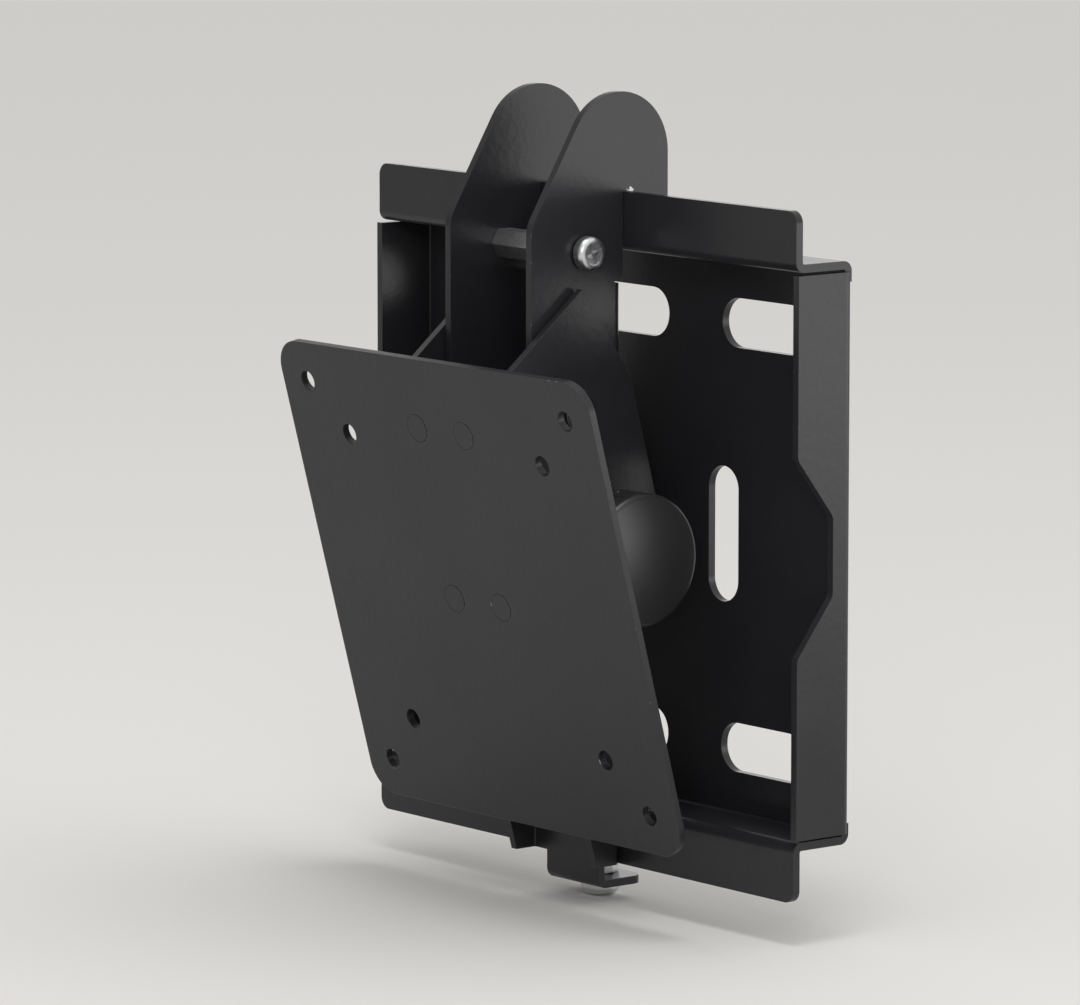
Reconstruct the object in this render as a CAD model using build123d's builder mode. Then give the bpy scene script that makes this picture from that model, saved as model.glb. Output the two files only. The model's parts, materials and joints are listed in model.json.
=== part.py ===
from build123d import *
import os
from math import atan2, cos, degrees, hypot, radians, sin, sqrt, tan

os.makedirs("parts", exist_ok=True)

# Tilting wall bracket for a flat screen, in millimetres.
# The origin is the middle of the wall plate's back face, on the wall.
# +X is to the right for someone facing the wall, +Y goes into the wall, +Z is up.

# Sheet steel of the folded pieces
sheet = 2.0
fold_inside = 0.5

# Wall plate, a shallow tray with a hooked lip along its top and bottom
plate_width = 162.0
plate_height = 139.2
plate_depth = 17.2
lip_rise = 12.5
lip_end_step = 1.0
lip_corner = 3.0
corner_relief = 0.6
notch_mouth = 47.5
notch_floor = 19.0
notch_depth = 11.0
notch_corner = 3.0

# Slots for the wall screws
slot_width = 12.0
slot_length = 31.0
slot_spread = 51.0
slot_rise = 103.0
upright_slot_width = 11.0
upright_slot_length = 33.0
upright_slot_spread = 72.2

# Hook bracket, a channel whose two ears hang over the top lip
hook_span = 33.2
hook_depth = 26.2
hang_gap = 0.3
finger_drop = 7.0
finger_corner = 2.0
ear_radius = 15.0
ear_rise = 9.1
ear_wall_gap = 3.5
ear_lean = 31.0
brow_radius = 8.0
knee_radius = 20.0
foot_radius = 4.0
web_top = 60.0
fold_relief = 1.5

# Tilt: the head leans forward by the tilt angle, and comes upright against its stop
tilt_angle = 15.0
pivot_standoff = 8.7
pivot_drop = 4.0
nose_gap = 1.8
swing_gap = 4.9

# Tilt frame, a channel whose cheeks stand outside the hook bracket
cheek_peak_back = 12.5
cheek_shoulder = 38.0
shoulder_radius = 30.0
peak_radius = 7.0
web_rise = 48.0

# Screen plate with the two usual hole squares
screen_plate_margin = 10.0
screen_plate_corner = 8.0
screen_plate_drop = 5.0
screen_square_large = 100.0
screen_square_small = 75.0
screen_hole_radius = 2.5

# Rivets that hold the screen plate on the tilt frame
rivet_radius = 2.0
rivet_head_radius = 3.6
rivet_dome = 1.4
rivet_spread = 18.0
rivet_rise = 44.0
rivet_lift = 15.0
countersink_angle = 45.0

# Pivot bolt and what it clamps
bolt_radius = 3.0
bolt_head_radius = 7.0
bolt_head_height = 3.2
bolt_chamfer = 0.8
bolt_bite = 11.5
spacer_radius = 5.0
friction_washer_radius = 10.0
friction_washer_thickness = 0.8
clamp_washer_radius = 9.0
clamp_washer_thickness = 1.5
disc_spring_radius = 7.5
disc_spring_sheet = 0.8
disc_spring_rise = 0.5

# Hand knob
knob_radius = 16.1
knob_hub_radius = 8.5
knob_hub_length = 4.6
knob_length = 13.0
knob_crown = 1.6
knob_wall = 2.8
knob_top = 3.0
knob_edge = 1.4
knob_back_edge = 0.8
knob_flutes = 30
flute_radius = 0.9
flute_depth = 0.45
flute_margin = 2.4
insert_radius = 4.5
insert_length = 12.0

# Stop pin that runs in the curved slots
stop_radius = 2.5
stop_back = 4.0
stop_rise = 34.0
stop_head_radius = 4.0
stop_head_height = 2.2
stop_tail = 2.6
stop_chamfer = 0.5
clip_radius = 4.6
clip_sheet = 0.8
clip_groove = 0.5
clip_mouth = 3.4

# Tie between the ears
tie_setback = 16.4
tie_drop = 14.0
tie_hex = 7.0
tie_screw_radius = 2.0
tie_screw_length = 9.0
tie_head_radius = 4.1
tie_head_height = 3.0
tie_washer_radius = 4.0
tie_washer_thickness = 0.6

# Lock screw under the bottom lip
lock_radius = 2.5
lock_head_radius = 4.75
lock_head_height = 3.3
lock_bite = 5.0
lock_gap = 2.0
lock_nut_hex = 8.0
lock_nut_height = 4.0
tab_width = 20.0
tab_corner = 3.0
tab_margin = 5.5

# Cross recess of the screws, as shares of the head
recess_span_share = 0.56
recess_arm_share = 0.15
recess_depth_share = 0.55
recess_turn = 20.0
recess_taper = 10.0
head_rounding_share = 0.55

# Clearances
running_gap = 0.05
shaft_gap = 0.1
thread_gap = 0.05
seat_gap = 0.05
bolt_hole_gap = 0.2
stop_slot_gap = 0.3
peak_gap = 4.2
nut_gap = 1.0

# Places that follow from the sizes above
fold_outside = fold_inside + sheet
fold_z = plate_height / 2
lip_tip = fold_z + lip_rise
lip_front = -plate_depth
lip_back = lip_front + sheet
flange_end = fold_z - sheet - corner_relief
flange_root = plate_width / 2 - 2 * fold_outside

web_back = lip_front - hang_gap
web_front = web_back - sheet
web_fold = web_back - fold_outside
hook_front = web_front - hook_depth
hook_side = hook_span / 2
hook_inside = hook_side - sheet
finger_front = lip_back + hang_gap
finger_end = lip_tip - finger_drop
ear_back = -ear_wall_gap
ear_y = ear_back - ear_radius
ear_z = lip_tip + ear_rise
ear_chin_y = ear_y - ear_radius * cos(radians(ear_lean))
ear_chin_z = ear_z + ear_radius * sin(radians(ear_lean))
brow_z = ear_chin_z - (ear_chin_y - hook_front) / tan(radians(ear_lean))

pivot_y = web_front - pivot_standoff
pivot_z = -pivot_drop
tilt_cos = cos(radians(tilt_angle))
tilt_sin = sin(radians(tilt_angle))


def head_point(back, up):
    """A point of the leaning head, given behind and above the pivot, as (y, z)."""
    y = pivot_y + back * tilt_cos - up * tilt_sin
    z = pivot_z + back * tilt_sin + up * tilt_cos
    return (y, z)


nose = hook_front - pivot_y
knee_up = (pivot_y + nose * tilt_cos - hook_front) / tilt_sin
knee = head_point(nose, knee_up)
foot_z = -lip_tip
foot_up = (foot_z - pivot_z - nose * tilt_sin) / tilt_cos
foot = head_point(nose, foot_up)

frame_back = nose - nose_gap
frame_front = frame_back - sheet
cheek_inside = hook_side + friction_washer_thickness + running_gap
cheek_outside = cheek_inside + sheet
cheek_back = -pivot_y - sheet - swing_gap

screen_plate_size = screen_square_large + 2 * screen_plate_margin
countersink_depth = (rivet_head_radius - rivet_radius) / tan(radians(countersink_angle))

tie_y = hook_front + tie_setback
tie_z = lip_tip - tie_drop
tie_reach = hypot(tie_y - pivot_y, tie_z - pivot_z)
peak_reach = tie_reach - tie_head_radius - peak_gap
cheek_peak = sqrt(peak_reach ** 2 - cheek_peak_back ** 2)

lock_y = lip_back + lock_radius + lock_gap
tab_top = -lip_tip - nut_gap - lock_nut_height
tab_bottom = tab_top - sheet
tab_end = lock_y + tab_margin

spring_x = cheek_outside + clamp_washer_thickness
knob_x = spring_x + disc_spring_rise + disc_spring_sheet + running_gap
knob_body_x = knob_x + knob_hub_length
knob_face_x = knob_body_x + knob_length
insert_end_x = knob_x + insert_length
bolt_end_x = knob_x + bolt_bite
groove_x = cheek_outside + seat_gap
tail_x = groove_x + clip_sheet + 2 * seat_gap + stop_tail

stop_orbit = hypot(stop_back, stop_rise)
stop_bearing = degrees(atan2(stop_rise, stop_back))

# Planes of the leaning head, all through the pivot: its side, its section and its front
head_side = Plane(origin=(0, pivot_y, pivot_z), x_dir=(0, tilt_cos, tilt_sin), z_dir=(1, 0, 0))
head_section = Plane(origin=(0, pivot_y, pivot_z), x_dir=(1, 0, 0), z_dir=(0, -tilt_sin, tilt_cos))
head_front = Plane(origin=(0, pivot_y, pivot_z), x_dir=(1, 0, 0), z_dir=(0, -tilt_cos, -tilt_sin))

# Planes for round pieces: across the pivot and along it
pivot_side = Plane(origin=(0, pivot_y, pivot_z), x_dir=(0, 1, 0), z_dir=(1, 0, 0))
pivot_length = Plane(origin=(0, pivot_y, pivot_z), x_dir=(1, 0, 0), z_dir=(0, -1, 0))
pivot_axis = Axis((0, pivot_y, pivot_z), (1, 0, 0))
stop_y, stop_z = head_point(stop_back, stop_rise)
stop_side = Plane(origin=(0, stop_y, stop_z), x_dir=(0, tilt_cos, tilt_sin), z_dir=(1, 0, 0))
stop_length = Plane(origin=(0, stop_y, stop_z), x_dir=(1, 0, 0), z_dir=(0, -1, 0))
stop_axis = Axis((0, stop_y, stop_z), (1, 0, 0))


def folded_section(corners, radii, side):
    """A strip of sheet whose one skin follows the corners, with the sheet on the given side."""
    with BuildSketch() as section:
        with BuildLine():
            FilletPolyline(*corners, radius=radii)
            offset(amount=sheet, side=side)
        make_face()
    return section.sketch


def cross_recess(head_radius):
    """The two crossed arms of a screw's recess, for a head of the given radius."""
    arm_length = 2 * head_radius * recess_span_share
    arm_width = 2 * head_radius * recess_arm_share
    with BuildSketch() as recess:
        Rectangle(arm_length, arm_width, rotation=recess_turn)
        Rectangle(arm_width, arm_length, rotation=recess_turn)
    return recess.sketch


def keep(part, name):
    """Name a finished piece and write it."""
    part.label = name
    export_step(part, f"parts/{name}.step")


# Wall plate: side flanges with the notch for a hand, ends cut just clear of the top and bottom flanges
flange_strip = folded_section(
    [(flange_root, 0), (plate_width / 2, 0), (plate_width / 2, lip_front)],
    fold_outside,
    Side.RIGHT,
)
with BuildPart() as side_flanges:
    with BuildSketch(Plane.XY):
        add(flange_strip)
        mirror(about=Plane.YZ)
    extrude(amount=lip_tip, both=True)
    with BuildSketch(Plane.YZ) as flange_outline:
        with BuildLine():
            Polyline(
                (0, flange_end),
                (lip_front, flange_end),
                (lip_front, notch_mouth / 2),
                (lip_front + notch_depth, notch_floor / 2),
                (lip_front + notch_depth, 0),
            )
            mirror(about=Plane.XZ)
            Line((0, -flange_end), (0, flange_end))
        make_face()
        notch_line = flange_outline.vertices().filter_by_position(Axis.Y, -notch_mouth / 2, notch_mouth / 2)
        fillet(notch_line.filter_by(lambda corner: abs(corner.Y) > 0), notch_corner)
    extrude(amount=plate_width, both=True, mode=Mode.INTERSECT)

# Wall plate: back, top and bottom flanges with their lips, then the slots
lip_strip = folded_section(
    [(0, fold_z - 2 * fold_outside), (0, fold_z), (lip_back, fold_z), (lip_back, lip_tip)],
    (fold_outside, fold_inside),
    Side.LEFT,
)
with BuildPart() as wall_plate:
    with BuildSketch(Plane.XZ):
        Rectangle(plate_width - 2 * fold_outside, plate_height - 2 * fold_outside)
    extrude(amount=sheet)
    with BuildSketch(Plane.YZ):
        add(lip_strip)
        mirror(about=Plane.XZ)
    extrude(amount=plate_width / 2 - lip_end_step, both=True)
    add(side_flanges.part)
    tips = wall_plate.edges().group_by(Axis.Z)
    fillet((tips[0] + tips[-1]).filter_by(Axis.Y), lip_corner)
    with BuildSketch(Plane.XZ):
        with GridLocations(slot_spread, slot_rise, 3, 2):
            SlotOverall(slot_length, slot_width)
        with GridLocations(upright_slot_spread, 0, 2, 1):
            SlotOverall(upright_slot_length, upright_slot_width, rotation=90)
    extrude(amount=sheet, mode=Mode.SUBTRACT)
keep(wall_plate.part, "wall_plate")

# Hook bracket: two walls with ears, joined by a web that bears on both lips
web_strip = folded_section(
    [
        (hook_side, web_fold - sheet),
        (hook_side, web_back),
        (-hook_side, web_back),
        (-hook_side, web_fold - sheet),
    ],
    fold_outside,
    Side.LEFT,
)
tab_strip = folded_section(
    [(web_front, foot_z), (web_front, tab_bottom), (tab_end, tab_bottom)],
    fold_outside,
    Side.LEFT,
)
stop_track = CenterArc((0, 0), stop_orbit, stop_bearing, -tilt_angle)
with BuildPart() as hook_bracket:
    with BuildSketch(Plane.YZ.offset(hook_inside)) as hook_wall:
        with BuildLine():
            Line((ear_back, finger_end), (ear_back, ear_z))
            ear = CenterArc((ear_y, ear_z), ear_radius, 0, 180 - ear_lean)
            Polyline(
                ear @ 1,
                (hook_front, brow_z),
                knee,
                foot,
                (web_fold, foot_z),
                (web_fold, web_top + fold_relief),
                (web_back, web_top + fold_relief),
                (web_back, lip_tip),
                (finger_front, lip_tip),
                (finger_front, finger_end),
                (ear_back, finger_end),
            )
        make_face()
        corners = hook_wall.vertices()
        fillet(corners.sort_by_distance((hook_front, brow_z))[0], brow_radius)
        fillet(corners.sort_by_distance(knee)[0], knee_radius)
        fillet(corners.sort_by_distance(foot)[0], foot_radius)
        fillet(corners.filter_by(lambda corner: corner.Y == finger_end), finger_corner)
        with Locations((tie_y, tie_z)):
            Circle(tie_screw_radius + bolt_hole_gap, mode=Mode.SUBTRACT)
        with Locations((pivot_y, pivot_z)):
            Circle(bolt_radius + shaft_gap, mode=Mode.SUBTRACT)
    extrude(amount=sheet)
    mirror(about=Plane.YZ)
    with BuildSketch(Plane.XY.offset(foot_z)):
        add(web_strip)
    extrude(amount=web_top - foot_z)
    with BuildSketch(Plane.YZ):
        add(tab_strip)
    extrude(amount=tab_width / 2, both=True)
    tab_tip = hook_bracket.edges().filter_by(Axis.Z).filter_by_position(Axis.Z, tab_bottom, tab_top)
    fillet(tab_tip.group_by(Axis.Y)[-1], tab_corner)
    with BuildSketch(Plane.XY.offset(tab_bottom)):
        with Locations((0, lock_y)):
            Circle(lock_radius + bolt_hole_gap)
    extrude(amount=sheet, mode=Mode.SUBTRACT)
    # Curved slots round the pivot, as long as the tilt
    with BuildSketch(head_side.offset(-hook_side)):
        SlotArc(stop_track, 2 * (stop_radius + stop_slot_gap))
    extrude(amount=hook_span, mode=Mode.SUBTRACT)
keep(hook_bracket.part, "hook_bracket")

# Tie: a hex spacer between the ears, with a washer and a screw from each side
tie_side = Plane(origin=(0, tie_y, tie_z), x_dir=(0, 1, 0), z_dir=(1, 0, 0))
with BuildPart() as tie_spacer:
    with BuildSketch(tie_side):
        RegularPolygon(tie_hex / 2, 6, major_radius=False)
        Circle(tie_screw_radius + thread_gap, mode=Mode.SUBTRACT)
    extrude(amount=hook_inside, both=True)
keep(tie_spacer.part, "tie_spacer")

with BuildPart() as tie_washers:
    with BuildSketch(tie_side.offset(hook_side)):
        Circle(tie_washer_radius)
        Circle(tie_screw_radius + bolt_hole_gap, mode=Mode.SUBTRACT)
    extrude(amount=tie_washer_thickness)
    mirror(about=Plane.YZ)
keep(tie_washers.part, "tie_washers")

tie_head_x = hook_side + tie_washer_thickness
with BuildPart() as tie_screws:
    with BuildSketch(tie_side.offset(tie_head_x)):
        Circle(tie_head_radius)
    extrude(amount=tie_head_height)
    fillet(tie_screws.edges().group_by(Axis.X)[-1], tie_head_height * head_rounding_share)
    with BuildSketch(tie_side.offset(tie_head_x)):
        Circle(tie_screw_radius)
    extrude(amount=-tie_screw_length)
    with BuildSketch(tie_side.offset(tie_head_x + tie_head_height)):
        add(cross_recess(tie_head_radius))
    extrude(amount=-tie_head_height * recess_depth_share, taper=recess_taper, mode=Mode.SUBTRACT)
    mirror(about=Plane.YZ)
keep(tie_screws.part, "tie_screws")

# Lock: a nut on the tab and a screw whose tip stands behind the bottom lip
with BuildPart() as lock_nut:
    with BuildSketch(Plane.XY.offset(tab_top)):
        with Locations((0, lock_y)):
            RegularPolygon(lock_nut_hex / 2, 6, major_radius=False)
            Circle(lock_radius + thread_gap, mode=Mode.SUBTRACT)
    extrude(amount=lock_nut_height)
keep(lock_nut.part, "lock_nut")

with BuildPart() as lock_screw:
    with BuildSketch(Plane.XY.offset(tab_bottom)):
        with Locations((0, lock_y)):
            Circle(lock_head_radius)
    extrude(amount=-lock_head_height)
    fillet(lock_screw.edges().group_by(Axis.Z)[0], lock_head_height * head_rounding_share)
    with BuildSketch(Plane.XY.offset(tab_bottom)):
        with Locations((0, lock_y)):
            Circle(lock_radius)
    extrude(amount=lock_bite - lip_tip - tab_bottom)
    with BuildSketch(Plane.XY.offset(tab_bottom - lock_head_height)):
        with Locations((0, lock_y)):
            add(cross_recess(lock_head_radius))
    extrude(amount=lock_head_height * recess_depth_share, taper=recess_taper, mode=Mode.SUBTRACT)
keep(lock_screw.part, "lock_screw")

# Pivot: a spacer inside the channel and a friction washer outside each wall
with BuildPart() as pivot_spacer:
    with BuildSketch(pivot_side):
        Circle(spacer_radius)
        Circle(bolt_radius + shaft_gap, mode=Mode.SUBTRACT)
    extrude(amount=hook_inside, both=True)
keep(pivot_spacer.part, "pivot_spacer")

washer_places = {"left": -hook_side - friction_washer_thickness, "right": hook_side}
for side_name, washer_x in washer_places.items():
    with BuildPart() as friction_washer:
        with BuildSketch(pivot_side.offset(washer_x)):
            Circle(friction_washer_radius)
            Circle(bolt_radius + shaft_gap, mode=Mode.SUBTRACT)
        extrude(amount=friction_washer_thickness)
    keep(friction_washer.part, f"friction_washer_{side_name}")

# Tilt frame: a channel folded round the hook bracket, its cheeks cut to the side outline
frame_strip = folded_section(
    [
        (cheek_outside, cheek_back),
        (cheek_outside, frame_front),
        (-cheek_outside, frame_front),
        (-cheek_outside, cheek_back),
    ],
    fold_outside,
    Side.RIGHT,
)
with BuildPart() as tilt_frame:
    with BuildSketch(head_section.offset(-cheek_back)):
        add(frame_strip)
    extrude(amount=cheek_back + cheek_peak)
    with BuildSketch(head_side) as cheek:
        with BuildLine():
            Polyline(
                (0, -cheek_back),
                (frame_front, -cheek_back),
                (frame_front, web_rise),
                (frame_front + fold_outside, web_rise),
                (cheek_peak_back, cheek_peak),
                (cheek_back, cheek_shoulder),
                (cheek_back, 0),
            )
            CenterArc((0, 0), cheek_back, 0, -90)
        make_face()
        corners = cheek.vertices()
        fillet(corners.sort_by_distance((cheek_back, cheek_shoulder))[0], shoulder_radius)
        fillet(corners.sort_by_distance((cheek_peak_back, cheek_peak))[0], peak_radius)
    extrude(amount=cheek_outside, both=True, mode=Mode.INTERSECT)
    # Round hole on the knob's side, square hole for the bolt's neck on the other
    with BuildSketch(head_side):
        Circle(bolt_radius + shaft_gap)
    extrude(amount=cheek_outside, mode=Mode.SUBTRACT)
    with BuildSketch(head_side):
        Rectangle(2 * (bolt_radius + shaft_gap), 2 * (bolt_radius + shaft_gap))
    extrude(amount=-cheek_outside, mode=Mode.SUBTRACT)
    with BuildSketch(stop_side):
        Circle(stop_radius + seat_gap)
    extrude(amount=cheek_outside, both=True, mode=Mode.SUBTRACT)
    with BuildSketch(head_front.offset(-frame_back)):
        with Locations((0, rivet_lift)):
            with GridLocations(rivet_spread, rivet_rise, 2, 2):
                Circle(rivet_radius + seat_gap)
    extrude(amount=sheet, mode=Mode.SUBTRACT)
keep(tilt_frame.part, "tilt_frame")

# Screen plate on the front of the tilt frame
with BuildPart() as screen_plate:
    with BuildSketch(head_front.offset(-frame_front)):
        with Locations((0, -screen_plate_drop)):
            RectangleRounded(screen_plate_size, screen_plate_size, screen_plate_corner)
            for square in (screen_square_large, screen_square_small):
                with GridLocations(square, square, 2, 2):
                    Circle(screen_hole_radius, mode=Mode.SUBTRACT)
        with Locations((0, rivet_lift)):
            with GridLocations(rivet_spread, rivet_rise, 2, 2):
                Circle(rivet_radius + seat_gap, mode=Mode.SUBTRACT)
    extrude(amount=sheet)
    with BuildSketch(head_front.offset(sheet - frame_front)):
        with Locations((0, rivet_lift)):
            with GridLocations(rivet_spread, rivet_rise, 2, 2):
                Circle(rivet_head_radius + seat_gap)
    extrude(amount=-countersink_depth, taper=countersink_angle, mode=Mode.SUBTRACT)
keep(screen_plate.part, "screen_plate")

# Rivets, flush in the screen plate and domed behind the tilt frame's web
with BuildPart() as plate_rivets:
    with BuildSketch(head_front.offset(sheet - frame_front)):
        with Locations((0, rivet_lift)):
            with GridLocations(rivet_spread, rivet_rise, 2, 2):
                Circle(rivet_head_radius)
    extrude(amount=-countersink_depth, taper=countersink_angle)
    with BuildSketch(head_front.offset(-frame_back)):
        with Locations((0, rivet_lift)):
            with GridLocations(rivet_spread, rivet_rise, 2, 2):
                Circle(rivet_radius)
    extrude(amount=2 * sheet)
    with BuildSketch(head_front.offset(-frame_back)):
        with Locations((0, rivet_lift)):
            with GridLocations(rivet_spread, rivet_rise, 2, 2):
                Circle(rivet_head_radius)
    extrude(amount=-rivet_dome)
    domes = plate_rivets.faces().group_by(Axis(head_front.origin, head_front.z_dir))[0]
    fillet(domes.edges(), rivet_dome * head_rounding_share)
keep(plate_rivets.part, "plate_rivets")

# Pivot bolt: domed head, square neck in the left cheek, thread in the knob
with BuildPart() as pivot_bolt:
    with BuildSketch(pivot_length):
        with BuildLine():
            dome = TangentArc(
                (-cheek_outside - bolt_head_height, 0),
                (-cheek_outside, bolt_head_radius),
                tangent=(0, 1),
            )
            Polyline(
                dome @ 1,
                (-cheek_outside, bolt_radius),
                (bolt_end_x - bolt_chamfer, bolt_radius),
                (bolt_end_x, bolt_radius - bolt_chamfer),
                (bolt_end_x, 0),
                dome @ 0,
            )
        make_face()
    revolve(axis=pivot_axis)
    with BuildSketch(head_side.offset(-cheek_outside)):
        Rectangle(2 * bolt_radius, 2 * bolt_radius)
    extrude(amount=sheet)
keep(pivot_bolt.part, "pivot_bolt")

# Under the knob: a flat washer on the cheek and a disc spring on the washer
with BuildPart() as clamp_washer:
    with BuildSketch(pivot_side.offset(cheek_outside)):
        Circle(clamp_washer_radius)
        Circle(bolt_radius + shaft_gap, mode=Mode.SUBTRACT)
    extrude(amount=clamp_washer_thickness)
keep(clamp_washer.part, "clamp_washer")

disc_spring_bore = bolt_radius + shaft_gap
with BuildPart() as disc_spring:
    with BuildSketch(pivot_length):
        with BuildLine():
            Polyline(
                (spring_x, disc_spring_radius),
                (spring_x + disc_spring_sheet, disc_spring_radius),
                (spring_x + disc_spring_sheet + disc_spring_rise, disc_spring_bore),
                (spring_x + disc_spring_rise, disc_spring_bore),
                close=True,
            )
        make_face()
    revolve(axis=pivot_axis)
keep(disc_spring.part, "disc_spring")

# Hand knob: a moulded cap round a hub, with shallow flutes for the fingers
with BuildPart() as knob:
    with BuildSketch(pivot_length) as knob_half:
        with BuildLine():
            crown = TangentArc(
                (knob_face_x, 0),
                (knob_face_x - knob_crown, knob_radius),
                tangent=(0, 1),
            )
            Polyline(
                crown @ 1,
                (knob_body_x, knob_radius),
                (knob_body_x, knob_radius - knob_wall),
                (knob_face_x - knob_crown - knob_top, knob_radius - knob_wall),
                (knob_face_x - knob_crown - knob_top, knob_hub_radius),
                (knob_x, knob_hub_radius),
                (knob_x, insert_radius + seat_gap),
                (insert_end_x + seat_gap, insert_radius + seat_gap),
                (insert_end_x + seat_gap, 0),
                crown @ 0,
            )
        make_face()
        corners = knob_half.vertices()
        fillet(corners.sort_by_distance((knob_face_x - knob_crown, knob_radius))[0], knob_edge)
        fillet(corners.sort_by_distance((knob_body_x, knob_radius))[0], knob_back_edge)
    revolve(axis=pivot_axis)
    with BuildSketch(pivot_side.offset(knob_body_x + flute_margin)):
        with PolarLocations(knob_radius + flute_radius - flute_depth, knob_flutes):
            Circle(flute_radius)
    extrude(amount=knob_length - knob_crown - 2 * flute_margin, mode=Mode.SUBTRACT)
keep(knob.part, "knob")

with BuildPart() as knob_insert:
    with BuildSketch(pivot_side.offset(knob_x)):
        Circle(insert_radius)
        Circle(bolt_radius + thread_gap, mode=Mode.SUBTRACT)
    extrude(amount=insert_length)
keep(knob_insert.part, "knob_insert")

# Stop pin through both cheeks and both curved slots, with a clip on its tail
with BuildPart() as stop_pin:
    with BuildSketch(stop_length):
        with BuildLine():
            Polyline(
                (-cheek_outside - stop_head_height, 0),
                (-cheek_outside - stop_head_height, stop_head_radius - stop_chamfer),
                (-cheek_outside - stop_head_height + stop_chamfer, stop_head_radius),
                (-cheek_outside, stop_head_radius),
                (-cheek_outside, stop_radius),
                (groove_x, stop_radius),
                (groove_x, stop_radius - clip_groove),
                (groove_x + clip_sheet + 2 * seat_gap, stop_radius - clip_groove),
                (groove_x + clip_sheet + 2 * seat_gap, stop_radius),
                (tail_x - stop_chamfer, stop_radius),
                (tail_x, stop_radius - stop_chamfer),
                (tail_x, 0),
                close=True,
            )
        make_face()
    revolve(axis=stop_axis)
keep(stop_pin.part, "stop_pin")

with BuildPart() as stop_clip:
    with BuildSketch(stop_side.offset(groove_x + seat_gap)):
        Circle(clip_radius)
        Circle(stop_radius - clip_groove + seat_gap, mode=Mode.SUBTRACT)
        with Locations((0, -clip_radius / 2)):
            Rectangle(clip_mouth, clip_radius, mode=Mode.SUBTRACT)
    extrude(amount=clip_sheet)
keep(stop_clip.part, "stop_clip")
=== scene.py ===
import json
import math
import bmesh
import bpy
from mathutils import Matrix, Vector


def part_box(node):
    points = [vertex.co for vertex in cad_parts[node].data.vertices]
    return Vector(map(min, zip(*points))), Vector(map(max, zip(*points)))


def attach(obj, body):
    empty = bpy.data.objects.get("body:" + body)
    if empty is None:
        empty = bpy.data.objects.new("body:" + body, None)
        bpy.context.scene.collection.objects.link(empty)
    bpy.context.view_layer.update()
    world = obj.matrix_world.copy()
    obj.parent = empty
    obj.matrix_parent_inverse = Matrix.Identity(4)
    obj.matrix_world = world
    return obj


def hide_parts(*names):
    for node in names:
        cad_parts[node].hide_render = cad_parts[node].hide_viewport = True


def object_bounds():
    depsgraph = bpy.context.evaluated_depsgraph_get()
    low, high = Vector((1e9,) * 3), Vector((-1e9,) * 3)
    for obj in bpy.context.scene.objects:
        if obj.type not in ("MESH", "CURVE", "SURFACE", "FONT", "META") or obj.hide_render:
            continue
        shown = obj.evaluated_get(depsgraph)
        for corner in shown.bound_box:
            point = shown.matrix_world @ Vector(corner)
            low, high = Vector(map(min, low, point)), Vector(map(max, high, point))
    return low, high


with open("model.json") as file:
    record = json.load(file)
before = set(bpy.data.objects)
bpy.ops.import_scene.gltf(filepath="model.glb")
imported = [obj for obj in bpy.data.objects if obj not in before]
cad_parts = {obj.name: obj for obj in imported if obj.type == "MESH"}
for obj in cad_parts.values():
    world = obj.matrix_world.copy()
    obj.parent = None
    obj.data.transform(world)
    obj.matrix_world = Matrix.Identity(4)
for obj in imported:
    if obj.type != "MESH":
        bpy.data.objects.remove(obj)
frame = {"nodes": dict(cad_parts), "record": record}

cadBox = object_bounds()
nodes = frame["nodes"]
mm = 0.001


# Shader helpers

def newMaterial(name):
    material = bpy.data.materials.new(name)
    material.use_nodes = True
    tree = material.node_tree
    shader = tree.nodes["Principled BSDF"]
    coords = tree.nodes.new("ShaderNodeTexCoord")
    return material, tree, shader, coords.outputs["Object"]


def shifted(tree, coords, location):
    mapping = tree.nodes.new("ShaderNodeMapping")
    mapping.inputs["Location"].default_value = location
    tree.links.new(coords, mapping.inputs["Vector"])
    return mapping.outputs["Vector"]


def addNoise(tree, coords, scale, detail=2.0, rough=0.5):
    noise = tree.nodes.new("ShaderNodeTexNoise")
    noise.inputs["Scale"].default_value = scale
    noise.inputs["Detail"].default_value = detail
    noise.inputs["Roughness"].default_value = rough
    tree.links.new(coords, noise.inputs["Vector"])
    return noise.outputs["Fac"]


def addRings(tree, coords, axis, pitch):
    wave = tree.nodes.new("ShaderNodeTexWave")
    wave.wave_type = "RINGS"
    wave.rings_direction = axis
    wave.inputs["Scale"].default_value = 2 * math.pi / (20 * pitch)  # the node turns 20 radians a unit
    wave.inputs["Distortion"].default_value = turnedLook["markWander"]
    wave.inputs["Detail"].default_value = turnedLook["markDetail"]
    tree.links.new(coords, wave.inputs["Vector"])
    return wave.outputs["Fac"]


def remap(tree, value, low, high, fromLow=0.15, fromHigh=0.85):
    node = tree.nodes.new("ShaderNodeMapRange")
    node.inputs["From Min"].default_value = fromLow
    node.inputs["From Max"].default_value = fromHigh
    node.inputs["To Min"].default_value = low
    node.inputs["To Max"].default_value = high
    tree.links.new(value, node.inputs["Value"])
    return node.outputs["Result"]


def blendColours(tree, value, first, second, fromLow=0.15, fromHigh=0.85):
    ramp = tree.nodes.new("ShaderNodeValToRGB")
    ramp.color_ramp.elements[0].position = fromLow
    ramp.color_ramp.elements[0].color = (*first, 1)
    ramp.color_ramp.elements[1].position = fromHigh
    ramp.color_ramp.elements[1].color = (*second, 1)
    tree.links.new(value, ramp.inputs["Fac"])
    return ramp.outputs["Color"]


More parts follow.
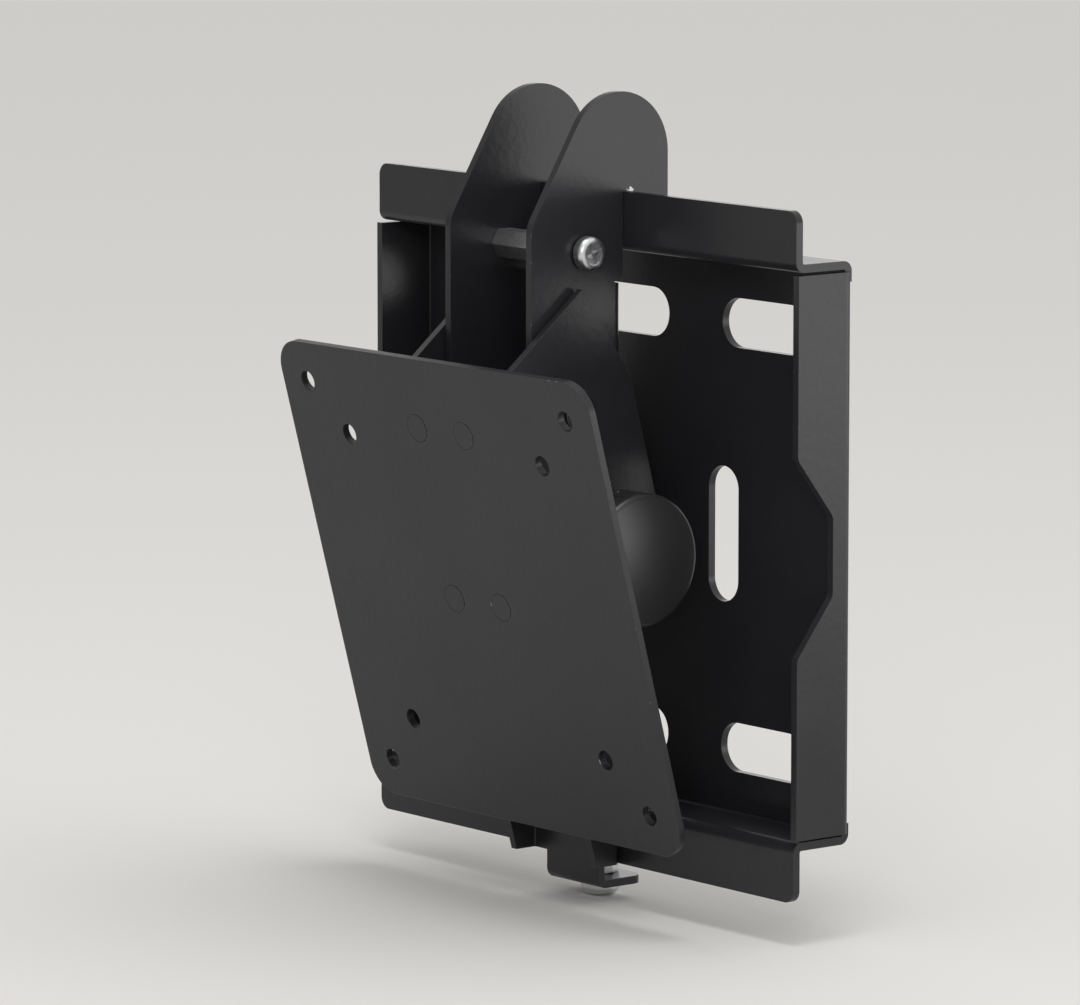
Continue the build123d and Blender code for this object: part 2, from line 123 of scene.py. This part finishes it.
def addBump(tree, shader, heights):
    normal = None
    for value, strength, distance in heights:
        bump = tree.nodes.new("ShaderNodeBump")
        bump.inputs["Strength"].default_value = strength
        bump.inputs["Distance"].default_value = distance
        tree.links.new(value, bump.inputs["Height"])
        if normal:
            tree.links.new(normal, bump.inputs["Normal"])
        normal = bump.outputs["Normal"]
    tree.links.new(normal, shader.inputs["Normal"])


# Finishes

coatLook = {
    "face": ((0.0171, 0.0171, 0.0203), (0.0297, 0.0297, 0.0338)),
    "edge": ((0.0200, 0.0200, 0.0222), (0.0460, 0.0460, 0.0490)),  # thinner, worn coat on the sheet's edges, made lighter also as a painted highlight
    "roughLow": 0.276, "roughHigh": 0.352, "specular": 0.30,
    "peelScale": 480, "peelBump": (0.38, 0.12 * mm),
    "gritScale": 2600, "gritBump": (0.26, 0.05 * mm),
    "driftScale": 18,
}
scuffLook = {
    "steel": (0.27, 0.27, 0.28), "fleckScale": 520, "edgeFleck": (0.66, 0.70), "faceFleck": (0.82, 0.90),
    "hookedOn": ((-16.6 * mm, -15.7 * mm, 82.3 * mm), (16.6 * mm, -15.7 * mm, 82.3 * mm)),  # ears on the lip
    "reach": 4.0 * mm, "flatter": (1.0, 1.0, 2.4), "rubbed": 0.50,
}


def scuffMask(tree, coords, fleckRange):
    away = None
    for place in scuffLook["hookedOn"]:
        fromPlace = tree.nodes.new("ShaderNodeVectorMath")
        fromPlace.operation = "SUBTRACT"
        fromPlace.inputs[1].default_value = place
        tree.links.new(coords, fromPlace.inputs[0])
        flattened = tree.nodes.new("ShaderNodeVectorMath")
        flattened.operation = "MULTIPLY"
        flattened.inputs[1].default_value = scuffLook["flatter"]
        tree.links.new(fromPlace.outputs["Vector"], flattened.inputs[0])
        distance = tree.nodes.new("ShaderNodeVectorMath")
        distance.operation = "LENGTH"
        tree.links.new(flattened.outputs["Vector"], distance.inputs[0])
        if away is None:
            away = distance.outputs["Value"]
            continue
        nearest = tree.nodes.new("ShaderNodeMath")
        nearest.operation = "MINIMUM"
        tree.links.new(away, nearest.inputs[0])
        tree.links.new(distance.outputs["Value"], nearest.inputs[1])
        away = nearest.outputs["Value"]
    rubbed = remap(tree, away, scuffLook["rubbed"], 0.0, 0.0, scuffLook["reach"])
    fleck = tree.nodes.new("ShaderNodeMath")
    specks = addNoise(tree, coords, scuffLook["fleckScale"], detail=3.0, rough=0.6)
    tree.links.new(specks, fleck.inputs[0])
    tree.links.new(rubbed, fleck.inputs[1])
    return remap(tree, fleck.outputs["Value"], 0.0, 1.0, *fleckRange)


def scuffed(tree, shader, mask):
    steel = tree.nodes.new("ShaderNodeMix")
    steel.data_type = "RGBA"
    tree.links.new(mask, steel.inputs["Factor"])
    tree.links.new(shader.inputs["Base Color"].links[0].from_socket, steel.inputs["A"])
    steel.inputs["B"].default_value = (*scuffLook["steel"], 1)
    tree.links.new(steel.outputs["Result"], shader.inputs["Base Color"])
    tree.links.new(mask, shader.inputs["Metallic"])


def satinCoat(name, tones, fleckRange):
    material, tree, shader, coords = newMaterial(name)
    peel = addNoise(tree, coords, coatLook["peelScale"], detail=1.5)  # orange peel of the baked powder
    grit = addNoise(tree, coords, coatLook["gritScale"], detail=1.0)
    drift = addNoise(tree, coords, coatLook["driftScale"], detail=4.0, rough=0.6)
    tree.links.new(blendColours(tree, drift, *tones), shader.inputs["Base Color"])
    rough = remap(tree, drift, coatLook["roughLow"], coatLook["roughHigh"])
    tree.links.new(rough, shader.inputs["Roughness"])
    shader.inputs["Specular IOR Level"].default_value = coatLook["specular"]
    scuffed(tree, shader, scuffMask(tree, coords, fleckRange))
    addBump(tree, shader, [(peel, *coatLook["peelBump"]), (grit, *coatLook["gritBump"])])
    return material


platingLook = {
    "brightZinc": {"tones": ((0.60, 0.60, 0.60), (0.74, 0.76, 0.79)), "rough": (0.28, 0.42)},
    "pivotZinc": {"tones": ((0.48, 0.48, 0.48), (0.64, 0.66, 0.69)), "rough": (0.28, 0.44)},
    "blackZinc": {"tones": ((0.038, 0.038, 0.041), (0.077, 0.077, 0.083)), "rough": (0.28, 0.40)},
    "cloudScale": 900, "fineScale": 5200, "fineBump": (0.15, 0.02 * mm),
}


def platedSteel(name):
    material, tree, shader, coords = newMaterial(name)
    look = platingLook[name]
    cloud = addNoise(tree, coords, platingLook["cloudScale"], detail=3.0, rough=0.6)
    fine = addNoise(tree, coords, platingLook["fineScale"], detail=1.0)
    tree.links.new(blendColours(tree, cloud, *look["tones"]), shader.inputs["Base Color"])
    tree.links.new(remap(tree, cloud, *look["rough"]), shader.inputs["Roughness"])
    shader.inputs["Metallic"].default_value = 1.0
    addBump(tree, shader, [(fine, *platingLook["fineBump"])])
    return material


turnedLook = {
    "oiledSpringSteel": {"tones": ((0.10, 0.10, 0.12), (0.20, 0.19, 0.20)), "rough": (0.28, 0.40)},
    "turnedBrass": {"tones": ((0.62, 0.44, 0.19), (0.74, 0.56, 0.28)), "rough": (0.28, 0.38)},
    "turnedZinc": {"tones": ((0.48, 0.48, 0.47), (0.60, 0.62, 0.66)), "rough": (0.28, 0.38)},
    "markPitch": 0.22 * mm, "markWander": 1.5, "markDetail": 2.0, "markBump": (0.12, 0.01 * mm),
    "cloudScale": 160,
}


def turnedMetal(name, centre):
    material, tree, shader, coords = newMaterial(name)
    look = turnedLook[name]
    fromCentre = shifted(tree, coords, tuple(-c for c in centre))
    rings = addRings(tree, fromCentre, "X", turnedLook["markPitch"])
    cloud = addNoise(tree, coords, turnedLook["cloudScale"], detail=3.0)
    tree.links.new(blendColours(tree, cloud, *look["tones"]), shader.inputs["Base Color"])
    tree.links.new(remap(tree, rings, *look["rough"], 0.0, 1.0), shader.inputs["Roughness"])
    shader.inputs["Metallic"].default_value = 1.0
    addBump(tree, shader, [(rings, *turnedLook["markBump"])])
    return material


mouldedLook = {
    "blackNylon": {"tones": ((0.018, 0.018, 0.018), (0.030, 0.030, 0.030)), "rough": (0.45, 0.60),
                   "grain": 1500, "ior": 1.53},
    "knobMoulding": {"tones": ((0.0160, 0.0162, 0.0174), (0.0265, 0.0268, 0.0282)), "rough": (0.36, 0.43),
                     "grain": 2400, "ior": 1.72},
    "driftScale": 60, "grainBump": (0.14, 0.03 * mm),
}


def mouldedPlastic(name):
    material, tree, shader, coords = newMaterial(name)
    look = mouldedLook[name]
    grain = addNoise(tree, coords, look["grain"])
    drift = addNoise(tree, coords, mouldedLook["driftScale"], detail=3.0)
    tree.links.new(blendColours(tree, drift, *look["tones"]), shader.inputs["Base Color"])
    tree.links.new(remap(tree, drift, *look["rough"]), shader.inputs["Roughness"])
    shader.inputs["IOR"].default_value = look["ior"]
    addBump(tree, shader, [(grain, *mouldedLook["grainBump"])])
    return material


def boxCentre(nodeName):
    low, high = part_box(nodeName)
    return [(a + b) / 2 for a, b in zip(low, high)]


pivotCentre = boxCentre("knob")
coatFace = satinCoat("blackPowderCoat", coatLook["face"], scuffLook["faceFleck"])
# edge coat: lighter tones for wear on the edges plus a painted highlight that stands in for edge glints
coatEdgeWearAndHighlight = satinCoat("blackPowderCoatEdgeWearAndHighlight", coatLook["edge"], scuffLook["edgeFleck"])
brightZinc = platedSteel("brightZinc")
pivotZinc = platedSteel("pivotZinc")
blackZinc = platedSteel("blackZinc")
turnedZinc = turnedMetal("turnedZinc", pivotCentre)
springSteel = turnedMetal("oiledSpringSteel", pivotCentre)
brass = turnedMetal("turnedBrass", pivotCentre)
nylon = mouldedPlastic("blackNylon")
knobPlastic = mouldedPlastic("knobMoulding")
print("finishes made")


# Making a piece and setting it on its body

meshWork = {
    "mergeWithin": 0.002 * mm, "levelAngle": 0.4,  # degrees between faces that count as one flat
    "sharpAngle": 32, "smoothAngle": 40, "flatWeight": 80,
}


def bodyOf(nodeName):
    for body, members in frame["record"]["behaviour"]["bodies"].items():
        if nodeName in members:
            return body


def addPiece(name, bm, materials, nodeName, smoothAngle=meshWork["smoothAngle"]):
    bmesh.ops.recalc_face_normals(bm, faces=bm.faces)
    mesh = bpy.data.meshes.new(name)
    bm.to_mesh(mesh)
    bm.free()
    for material in materials:
        mesh.materials.append(material)
    mesh.shade_smooth()
    mesh.set_sharp_from_angle(angle=math.radians(smoothAngle))
    piece = bpy.data.objects.new(name, mesh)
    bpy.context.scene.collection.objects.link(piece)
    weighted = piece.modifiers.new("flatFaces", "WEIGHTED_NORMAL")
    weighted.keep_sharp = True
    weighted.weight = meshWork["flatWeight"]
    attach(piece, bodyOf(nodeName))
    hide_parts(nodeName)
    return piece


def nodeShape(nodeName):
    bm = bmesh.new()
    bm.from_mesh(nodes[nodeName].data)
    bmesh.ops.remove_doubles(bm, verts=bm.verts, dist=meshWork["mergeWithin"])
    levelAngle = math.radians(meshWork["levelAngle"])
    bmesh.ops.dissolve_limit(bm, angle_limit=levelAngle, verts=bm.verts, edges=bm.edges)
    for face in bm.faces:
        face.material_index = 0
    return bm


def breakEdges(bm, width, segments=2, edgeMaterial=-1):
    limit = math.radians(meshWork["sharpAngle"])
    sharp = [e for e in bm.edges if len(e.link_faces) == 2 and e.calc_face_angle(0) > limit]
    bmesh.ops.bevel(
        bm, geom=sharp, offset=width, offset_type="OFFSET", segments=segments, profile=0.5,
        affect="EDGES", clamp_overlap=True, material=edgeMaterial,
    )


# Folded sheets: the coat rounds every cut edge

sheetPieces = {
    "wall_plate": "wallPlate", "hook_bracket": "hookBracket",
    "tilt_frame": "tiltFrame", "screen_plate": "screenPlate",
}
sheetEdge = {"width": 0.34 * mm, "segments": 3}
for nodeName, pieceName in sheetPieces.items():
    bm = nodeShape(nodeName)
    breakEdges(bm, sheetEdge["width"], sheetEdge["segments"], edgeMaterial=1)
    # the bevel faces take the lighter edge coat: partly wear, partly a painted highlight
    addPiece(pieceName, bm, [coatFace, coatEdgeWearAndHighlight], nodeName)
print("folded sheets rounded")


# Small hardware: each node keeps its form and gets broken edges

hardware = {  # piece, finish and width of the broken edge in millimetres
    "tie_spacer": ("tieSpacer", brightZinc, 0.25),
    "tie_washers": ("tieWashers", blackZinc, 0.12),
    "tie_screws": ("tieScrews", brightZinc, 0.12),
    "pivot_spacer": ("pivotSpacer", turnedZinc, 0.25),
    "pivot_bolt": ("pivotBolt", turnedZinc, 0.15),
    "clamp_washer": ("clampWasher", turnedZinc, 0.20),
    "disc_spring": ("discSpring", springSteel, 0.12),
    "knob_insert": ("knobInsert", brass, 0.25),
    "stop_pin": ("stopPin", pivotZinc, 0.12),
    "stop_clip": ("stopClip", springSteel, 0.12),
    "friction_washer_left": ("frictionWasherLeft", nylon, 0.12),
    "friction_washer_right": ("frictionWasherRight", nylon, 0.12),
    "plate_rivets": ("plateRivets", coatFace, 0.22),
}
for nodeName, (pieceName, material, width) in hardware.items():
    bm = nodeShape(nodeName)
    breakEdges(bm, width * mm)
    addPiece(pieceName, bm, [material], nodeName)
print("small hardware finished")


# Lock screw: the head keeps its form, the shank gets its thread

lockThread = {
    "pitch": 0.8 * mm, "depth": 0.42 * mm, "crestShare": 0.15, "flankShare": 0.7, "stepsPerPitch": 8,
    "tip": 0.6 * mm, "headEdge": 0.15 * mm, "tipFinder": 0.01 * mm,
}


def threadDepth(turn):
    away = abs(turn % 1.0 - 0.5) * 2  # 0 on the crest, 1 in the root
    return min(max((away - lockThread["crestShare"]) / lockThread["flankShare"], 0.0), 1.0)


def threadedScrew(nodeName):
    bm = nodeShape(nodeName)
    centreX, centreY, _ = boxCentre(nodeName)
    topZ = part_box(nodeName)[1][2]
    tip = [v for v in bm.verts if abs(v.co.z - topZ) < lockThread["tipFinder"]]
    crest = max(math.hypot(v.co.x - centreX, v.co.y - centreY) for v in tip)
    bmesh.ops.delete(bm, geom=tip, context="VERTS")
    breakEdges(bm, lockThread["headEdge"])
    ring = {v for e in bm.edges if e.is_boundary for v in e.verts}
    ring = sorted(ring, key=lambda v: math.atan2(v.co.y - centreY, v.co.x - centreX))
    angles = [math.atan2(v.co.y - centreY, v.co.x - centreX) for v in ring]
    startZ = ring[0].co.z
    rise = lockThread["pitch"] / lockThread["stepsPerPitch"]
    rows = round((topZ - startZ) / rise)
    for row in range(1, rows + 1):
        z = startZ + (topZ - startZ) * row / rows
        upper = []
        for angle in angles:
            turn = (z - startZ) / lockThread["pitch"] - angle / (2 * math.pi)
            radius = crest - lockThread["depth"] * threadDepth(turn)
            radius = min(radius, crest - lockThread["tip"] + (topZ - z))
            x, y = centreX + radius * math.cos(angle), centreY + radius * math.sin(angle)
            upper.append(bm.verts.new((x, y, z)))
        for i in range(len(ring)):
            k = (i + 1) % len(ring)
            bm.faces.new((ring[i], ring[k], upper[k], upper[i]))
        ring = upper
    bm.faces.new(ring)
    return bm


addPiece("lockScrew", threadedScrew("lock_screw"), [brightZinc], "lock_screw")


# Lock nut: a hexagon with turned chamfers and a countersunk mouth

lockNut = {
    "boreMouth": 2.95 * mm, "bore": 2.55 * mm, "chamferAngle": 30, "faceShare": 0.96,
    "columns": 96, "smoothAngle": 20,
}


def chamferedNut(nodeName):
    bm = bmesh.new()
    low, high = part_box(nodeName)
    centreX, centreY, _ = boxCentre(nodeName)
    apothem = (high[1] - low[1]) / 2  # corners point along X
    faceRadius = apothem * lockNut["faceShare"]
    slope = math.tan(math.radians(lockNut["chamferAngle"]))
    mouthDepth = lockNut["boreMouth"] - lockNut["bore"]
    rings = []
    for column in range(lockNut["columns"]):
        angle = 2 * math.pi * column / lockNut["columns"]
        hexRadius = apothem / math.cos((angle % (math.pi / 3)) - math.pi / 6)
        drop = (hexRadius - faceRadius) * slope
        section = [
            (lockNut["bore"], low[2] + mouthDepth), (lockNut["boreMouth"], low[2]),
            (faceRadius, low[2]), (hexRadius, low[2] + drop),
            (hexRadius, high[2] - drop), (faceRadius, high[2]),
            (lockNut["boreMouth"], high[2]), (lockNut["bore"], high[2] - mouthDepth),
        ]
        rings.append([bm.verts.new((centreX + r * math.cos(angle), centreY + r * math.sin(angle), z))
                      for r, z in section])
    for column, ring in enumerate(rings):
        following = rings[(column + 1) % len(rings)]
        for i in range(len(ring)):
            k = (i + 1) % len(ring)
            bm.faces.new((ring[i], ring[k], following[k], following[i]))
    return bm


addPiece("lockNut", chamferedNut("lock_nut"), [brightZinc], "lock_nut", lockNut["smoothAngle"])
print("lock screw threaded, nut chamfered")


# Hand knob: a crowned moulded cap with ball-ended flutes round its side

handKnob = {
    "crown": 1.6 * mm, "edge": 1.4 * mm, "backEdge": 0.8 * mm, "corner": 0.35 * mm,
    "wall": 2.8 * mm, "top": 3.0 * mm, "length": 13.0 * mm,
    "hub": 8.5 * mm, "bore": 4.55 * mm, "boreDepth": 12.05 * mm,
    "flutes": 30, "fluteRadius": 0.9 * mm, "fluteDepth": 0.45 * mm, "fluteMargin": 2.4 * mm,
    "fluteEnd": 0.7 * mm, "endAngles": (0, 20, 40, 60, 75, 90),
    "halfColumns": (0.85, 1.7, 2.45, 2.8, 3.15, 4.6),  # degrees off a flute's middle, to both sides
    "crownSteps": 14, "edgeSteps": 8, "backSteps": 6, "cornerSteps": 3, "smoothAngle": 50,
    "poleAngle": 0.02, "poleShare": 0.02,  # tiny rings that close the face and the bore's floor
    "sideFinder": 0.001 * mm,
}
fluteColumns = [-d for d in reversed(handKnob["halfColumns"])] + [0.0] + list(handKnob["halfColumns"])


def arcPoints(centre, radius, start, end, steps):
    turns = [math.radians(start + (end - start) * i / steps) for i in range(steps + 1)]
    return [(centre[0] + radius * math.cos(t), centre[1] + radius * math.sin(t)) for t in turns]


def knobSection(backX, faceX, radius):
    look = handKnob
    bodyX = faceX - look["length"]
    ceilingX = faceX - look["crown"] - look["top"]
    crownRadius = (radius ** 2 + look["crown"] ** 2) / (2 * look["crown"])
    crownX = faceX - crownRadius
    edgeR = radius - look["edge"]
    edgeX = crownX + math.sqrt((crownRadius - look["edge"]) ** 2 - edgeR ** 2)
    edgeStart = math.degrees(math.atan2(edgeR, edgeX - crownX))
    section = arcPoints((crownX, 0), crownRadius, look["poleAngle"], edgeStart, look["crownSteps"])
    section += arcPoints((edgeX, edgeR), look["edge"], edgeStart, 90, look["edgeSteps"])[1:]
    fluteStart = min(edgeX, faceX - look["crown"] - look["fluteMargin"])
    fluteStop = bodyX + look["fluteMargin"]
    ends = [look["fluteEnd"] * (1 - math.cos(math.radians(a))) for a in look["endAngles"]]
    section += [(fluteStart - e, radius) for e in ends]
    section += [(fluteStop + e, radius) for e in reversed(ends)]
    back = look["backEdge"]
    section += arcPoints((bodyX + back, radius - back), back, 90, 180, look["backSteps"])
    c = look["corner"]
    steps = look["cornerSteps"]
    wallR = radius - look["wall"]
    section += arcPoints((bodyX + c, wallR + c), c, 180, 270, steps)
    section += arcPoints((ceilingX - c, wallR - c), c, 0, 90, steps)[::-1]
    section += arcPoints((ceilingX - c, look["hub"] + c), c, 270, 360, steps)[::-1]
    section += arcPoints((backX + c, look["hub"] - c), c, 90, 180, steps)
    section += arcPoints((backX + c, look["bore"] + c), c, 180, 270, steps)
    floorX = backX + look["boreDepth"]
    section += [(floorX, look["bore"]), (floorX, look["bore"] * look["poleShare"])]
    return section, fluteStart, fluteStop


def fluteCut(x, degreesOff, radius, fluteStart, fluteStop):
    if not fluteStop < x < fluteStart:
        return 0.0
    fromEnd = min(fluteStart - x, x - fluteStop, handKnob["fluteEnd"]) / handKnob["fluteEnd"]
    share = math.sqrt(max(0.0, 1 - (1 - fromEnd) ** 2))
    middle = radius + handKnob["fluteRadius"] - handKnob["fluteDepth"]
    off = math.radians(degreesOff)
    across = middle * math.sin(off)
    if abs(across) >= handKnob["fluteRadius"]:
        return 0.0
    bottom = middle * math.cos(off) - math.sqrt(handKnob["fluteRadius"] ** 2 - across ** 2)
    return max(0.0, radius - bottom) * share


def knobShape(nodeName):
    bm = bmesh.new()
    low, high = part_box(nodeName)
    _, centreY, centreZ = boxCentre(nodeName)
    radius = (high[2] - low[2]) / 2
    section, fluteStart, fluteStop = knobSection(low[0], high[0], radius)
    columns = []
    for flute in range(handKnob["flutes"]):
        middle = 360 * flute / handKnob["flutes"]
        for off in fluteColumns:
            angle = math.radians(middle + off)
            column = []
            for x, r in section:
                onSide = r > radius - handKnob["sideFinder"]
                r -= fluteCut(x, off, radius, fluteStart, fluteStop) if onSide else 0.0
                column.append(bm.verts.new((x, centreY + r * math.cos(angle), centreZ + r * math.sin(angle))))
            columns.append(column)
    for index, column in enumerate(columns):
        following = columns[(index + 1) % len(columns)]
        for i in range(len(section) - 1):
            bm.faces.new((column[i], column[i + 1], following[i + 1], following[i]))
    bm.faces.new([column[0] for column in columns])
    bm.faces.new([column[-1] for column in columns])
    return bm


addPiece("handKnob", knobShape("knob"), [knobPlastic], "knob", handKnob["smoothAngle"])
print("knob moulded")


# Stage, lamps and camera

stageLook = {"gap": 0.4 * mm, "size": 14.0, "colour": (0.80, 0.79, 0.77), "rough": 0.85, "specular": 0.0}
floorZ = cadBox[0][2] - stageLook["gap"]
half = stageLook["size"] / 2
bm = bmesh.new()
floorCorners = ((-half, -half), (half, -half), (half, half), (-half, half))
bm.faces.new([bm.verts.new((x, y, floorZ)) for x, y in floorCorners])
floorMesh = bpy.data.meshes.new("floor")
bm.to_mesh(floorMesh)
bm.free()
floor = bpy.data.objects.new("floor", floorMesh)
bpy.context.scene.collection.objects.link(floor)
floorMaterial, _, floorShader, _ = newMaterial("paleFloor")
floorShader.inputs["Base Color"].default_value = (*stageLook["colour"], 1)
floorShader.inputs["Roughness"].default_value = stageLook["rough"]
floorShader.inputs["Specular IOR Level"].default_value = stageLook["specular"]
floorMesh.materials.append(floorMaterial)

worldLook = {
    "colour": (1.0, 0.99, 0.975), "horizon": 0.50, "zenith": 0.92, "zenithAt": 0.7,
    "paleSide": (0.6, 0.8, 0.0), "darkShare": 0.45, "paleShare": 1.35,  # dark room in front, pale behind
}
world = bpy.data.worlds.new("studioWorld")
bpy.context.scene.world = world
world.use_nodes = True
worldTree = world.node_tree
background = worldTree.nodes["Background"]
background.inputs["Color"].default_value = (*worldLook["colour"], 1)
worldCoords = worldTree.nodes.new("ShaderNodeTexCoord")
worldAxes = worldTree.nodes.new("ShaderNodeSeparateXYZ")
worldTree.links.new(worldCoords.outputs["Generated"], worldAxes.inputs["Vector"])
skyRise = remap(worldTree, worldAxes.outputs["Z"], worldLook["horizon"], worldLook["zenith"], 0.0,
                worldLook["zenithAt"])
towardsPale = worldTree.nodes.new("ShaderNodeVectorMath")
towardsPale.operation = "DOT_PRODUCT"
towardsPale.inputs[1].default_value = worldLook["paleSide"]
worldTree.links.new(worldCoords.outputs["Generated"], towardsPale.inputs[0])
sideShare = remap(worldTree, towardsPale.outputs["Value"], worldLook["darkShare"], worldLook["paleShare"],
                  -1.0, 1.0)
skyLight = worldTree.nodes.new("ShaderNodeMath")
skyLight.operation = "MULTIPLY"
worldTree.links.new(skyRise, skyLight.inputs[0])
worldTree.links.new(sideShare, skyLight.inputs[1])
worldTree.links.new(skyLight.outputs["Value"], background.inputs["Strength"])

lamps = {
    "rightBox": {"at": (0.40, 0.31, 0.032), "size": (0.55, 0.18), "power": 0.78, "mirroredOnly": True},
    "leftCard": {"at": (-0.60, 0.50, 0.15), "size": (0.50, 0.25), "power": 0.55, "mirroredOnly": True},
    "topBox": {"at": (0.30, -0.25, 1.40), "size": (0.42, 0.42), "power": 4.0, "mirroredOnly": False},
    "frontFill": {"at": (1.05, -0.95, 0.60), "size": (0.5, 0.4), "power": 3.3, "mirroredOnly": False},
}
lampAim = Vector((0, -0.02, 0))
for lampName, lamp in lamps.items():
    light = bpy.data.lights.new(lampName, "AREA")
    light.shape = "RECTANGLE"
    light.size, light.size_y = lamp["size"]
    light.energy = lamp["power"]
    lampObject = bpy.data.objects.new(lampName, light)
    lampObject.location = lamp["at"]
    lampObject.rotation_mode = "QUATERNION"
    lampObject.rotation_quaternion = (lampAim - Vector(lamp["at"])).to_track_quat("-Z", "Y")
    lampObject.visible_camera = False
    lampObject.visible_diffuse = not lamp["mirroredOnly"]  # seen in the coat, off the floor
    bpy.context.scene.collection.objects.link(lampObject)

cameraLook = {
    "at": (1.3026, -1.0726, 0.2427), "aim": (0.0, -0.0297, 0.006),
    "lens": 232.0, "sensor": 36.0, "nearest": 0.05,
}
cameraData = bpy.data.cameras.new("camera")
cameraData.lens = cameraLook["lens"]
cameraData.sensor_width = cameraLook["sensor"]
cameraData.clip_start = cameraLook["nearest"]
camera = bpy.data.objects.new("camera", cameraData)
camera.location = cameraLook["at"]
camera.rotation_mode = "QUATERNION"
camera.rotation_quaternion = (Vector(cameraLook["aim"]) - Vector(cameraLook["at"])).to_track_quat("-Z", "Y")
bpy.context.scene.collection.objects.link(camera)
bpy.context.scene.camera = camera
bpy.context.scene.view_settings.view_transform = "Standard"
print("stage, lamps and camera placed")
